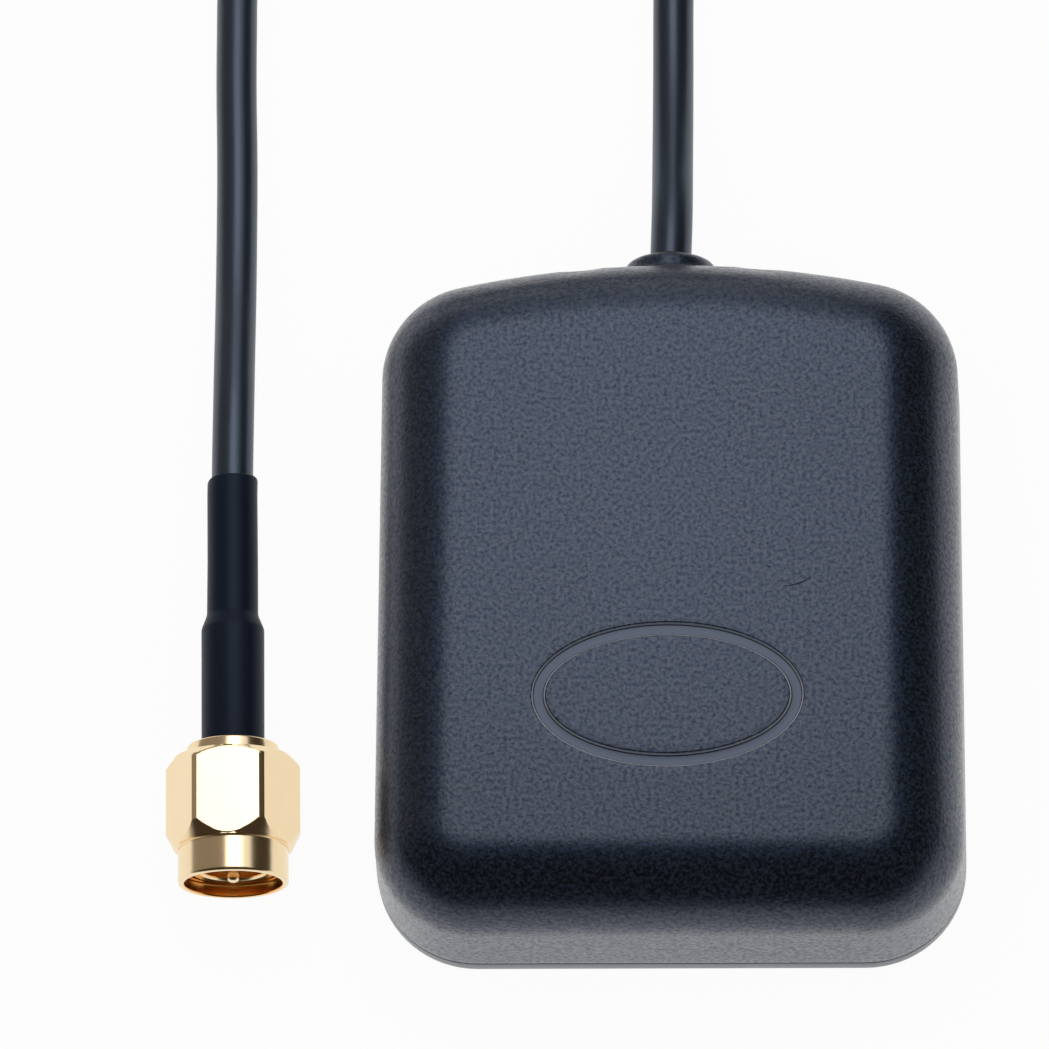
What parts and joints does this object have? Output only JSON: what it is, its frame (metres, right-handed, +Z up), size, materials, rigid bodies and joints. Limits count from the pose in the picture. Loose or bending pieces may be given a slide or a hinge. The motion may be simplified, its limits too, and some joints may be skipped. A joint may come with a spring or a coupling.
{
  "type": "gps antenna",
  "caption": "Magnetic-base positioning antenna: low rounded plastic housing with a ceramic patch inside, a thin coaxial lead in a coil, and a screw-on coaxial plug with a free-turning nut.",
  "frame": {"origin": "bottom centre of the antenna's housing with its lead boss, on the surface that it stands on", "axes": "+Z up out of the housing's top, +Y out of the rear wall where the lead leaves, the plug lies at the -X side"},
  "size_m": [0.065, 0.1421, 0.013],
  "materials": {
    "housing": "dark blue-grey moulded plastic with a fine even grain",
    "base": "dark blue-grey moulded plastic, smooth",
    "soft_rubber": "matt black",
    "grommet": "satin black",
    "nickel": "nickel plate",
    "screw_steel": "zinc plate",
    "ceramic": "unglazed, fine",
    "filter_ceramic": "unglazed, fine",
    "silver": "fired silver layer",
    "tin": "tin plate",
    "tape": "double-sided tape",
    "board": "green solder mask on glass-filled board",
    "chip_black": "moulded black",
    "chip_part": "fired ceramic with tinned ends",
    "jacket": "satin blue-black cable jacket",
    "tie": "plain black",
    "sleeve": "satin shrunk sleeve",
    "copper": "bare copper",
    "insulation": "white, waxy",
    "gold_plate": "pale gold plate, bright",
    "spring_bronze": "bare spring bronze",
    "red_silicone": "red silicone"
  },
  "bodies": {
    "antenna": {"top_housing": "housing", "housing_seal": "soft_rubber", "base_plate": "base", "base_pad": "soft_rubber", "magnet": "nickel", "housing_screw_1": "screw_steel", "housing_screw_2": "screw_steel", "housing_screw_3": "screw_steel", "housing_screw_4": "screw_steel", "ceramic_patch": "ceramic", "patch_electrode": "silver", "feed_pin": "tin", "patch_tape": "tape", "amplifier_board": "board", "amplifier_chip": "chip_black", "band_filter": "filter_ceramic", "chip_part_1": "chip_part", "chip_part_2": "chip_part", "chip_part_3": "chip_part", "chip_part_4": "chip_part", "shield_can": "tin", "cable_grommet": "grommet", "lead_entry": "jacket", "entry_braid": "copper", "entry_insulation": "insulation", "entry_wire": "copper", "wire_solder": "tin", "lead_antenna_side": "jacket", "lead_coil": "jacket", "coil_tie": "tie", "lead_plug_side": "jacket", "lead_in_sleeve": "jacket", "shrink_sleeve": "sleeve", "crimp_ferrule": "gold_plate", "crimp_braid": "copper", "crimp_insulation": "insulation", "plug_body": "gold_plate", "retaining_ring": "spring_bronze", "sealing_washer": "red_silicone", "plug_insulator": "insulation", "contact_pin": "gold_plate"},
    "nut": {"coupling_nut": "gold_plate"}
  },
  "joints": [
    {"name": "nut_spin", "type": "hinge", "parent": "antenna", "child": "nut", "pos_m": [-0.0288, -0.01903, 0.00395], "axis": [0.0262, -0.9997, 0], "continuous": true}
  ]
}
